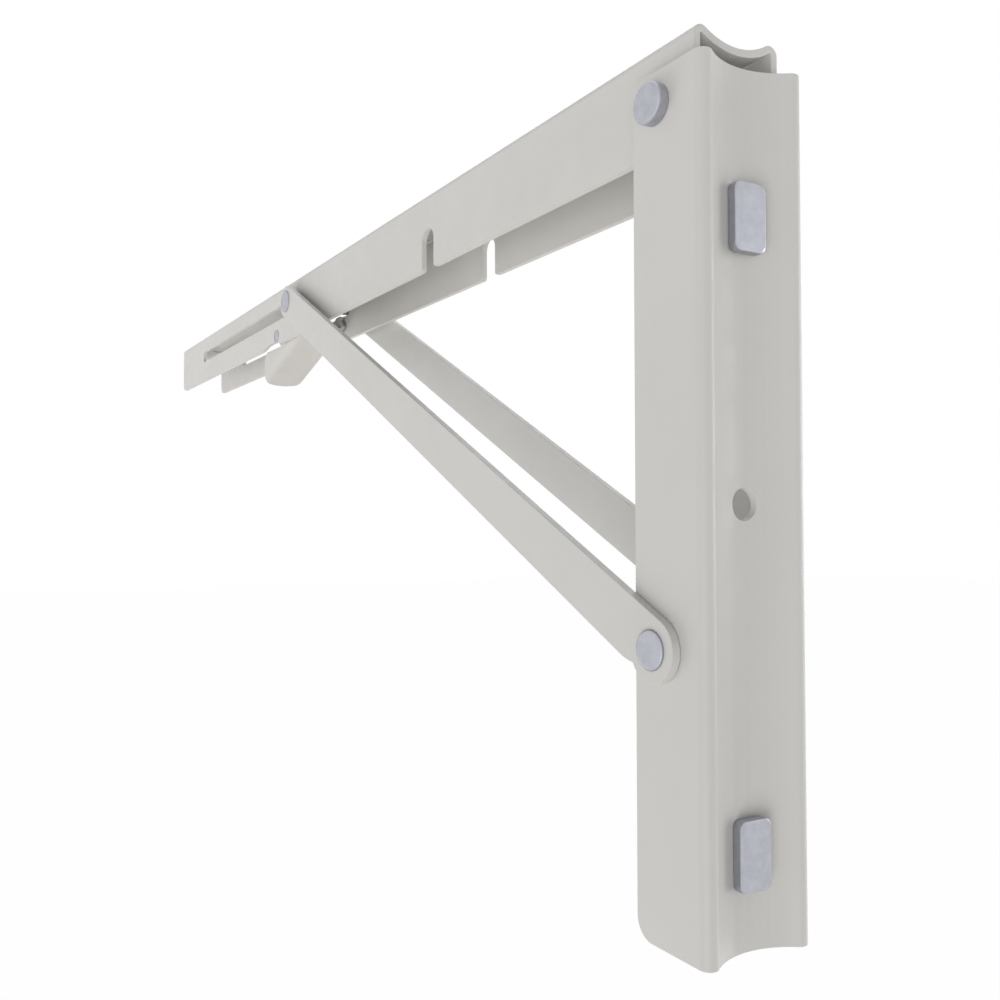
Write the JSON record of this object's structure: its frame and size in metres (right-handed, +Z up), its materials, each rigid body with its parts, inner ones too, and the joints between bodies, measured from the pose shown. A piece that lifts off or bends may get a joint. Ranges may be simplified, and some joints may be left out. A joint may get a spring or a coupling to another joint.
{
  "type": "folding shelf bracket",
  "caption": "Painted steel folding shelf bracket: a grooved wall rail, a slotted arm that folds down into it, brace straps on both sides and a sprung release lever in the arm.",
  "frame": {"origin": "centre of the wall screw hole, at the outer face of the groove in the rail's back", "axes": "+X out from the wall along the open arm, +Y to the left seen from the wall, +Z up"},
  "size_m": [0.466, 0.0362, 0.1987],
  "materials": {
    "paint": "satin white powder paint on sheet steel",
    "plated": "dull zinc plate",
    "steel": "plain bright steel"
  },
  "bodies": {
    "rail": {"wall_rail": "paint", "pad_upper": "plated", "pad_lower": "plated", "upper_rivet": "plated", "upper_sleeve": "steel", "upper_washer_left": "steel", "upper_washer_right": "steel", "lower_rivet": "plated", "lower_sleeve": "steel"},
    "arm": {"arm": "paint", "lever_pin": "plated", "spring_arm_end": "steel"},
    "brace_pin": {"slot_pin": "plated", "pin_spacer_left": "steel", "pin_spacer_right": "steel"},
    "brace": {"strap_left": "paint", "strap_right": "paint", "pin_head_left": "plated", "pin_head_right": "plated"},
    "lever": {"release_lever": "paint", "spring_lever_end": "steel"}
  },
  "joints": [
    {"name": "arm_fold", "type": "hinge", "parent": "rail", "child": "arm", "pos_m": [0.0105, 0, 0.0878], "axis": [0, 1, 0], "range_deg": [0, 90]},
    {"name": "pin_slide", "type": "slide", "parent": "arm", "child": "brace_pin", "axis": [1, 0, 0], "range_m": [0, 0.1485]},
    {"name": "brace_swing", "type": "hinge", "parent": "rail", "child": "brace", "pos_m": [0.0105, 0, -0.0314], "axis": [0, 1, 0], "range_deg": [0, 115.8]},
    {"name": "lever_press", "type": "hinge", "parent": "arm", "child": "lever", "pos_m": [0.2839, 0, 0.0824], "axis": [0, -1, 0], "range_deg": [-5, 16.5], "stiffness_Nm_per_rad": 0.05}
  ],
  "couplings": [
    {"joint": "pin_slide", "follows": "arm_fold", "m_per_rad": 0.094518},
    {"joint": "brace_swing", "follows": "arm_fold", "ratio": 1.2867}
  ]
}
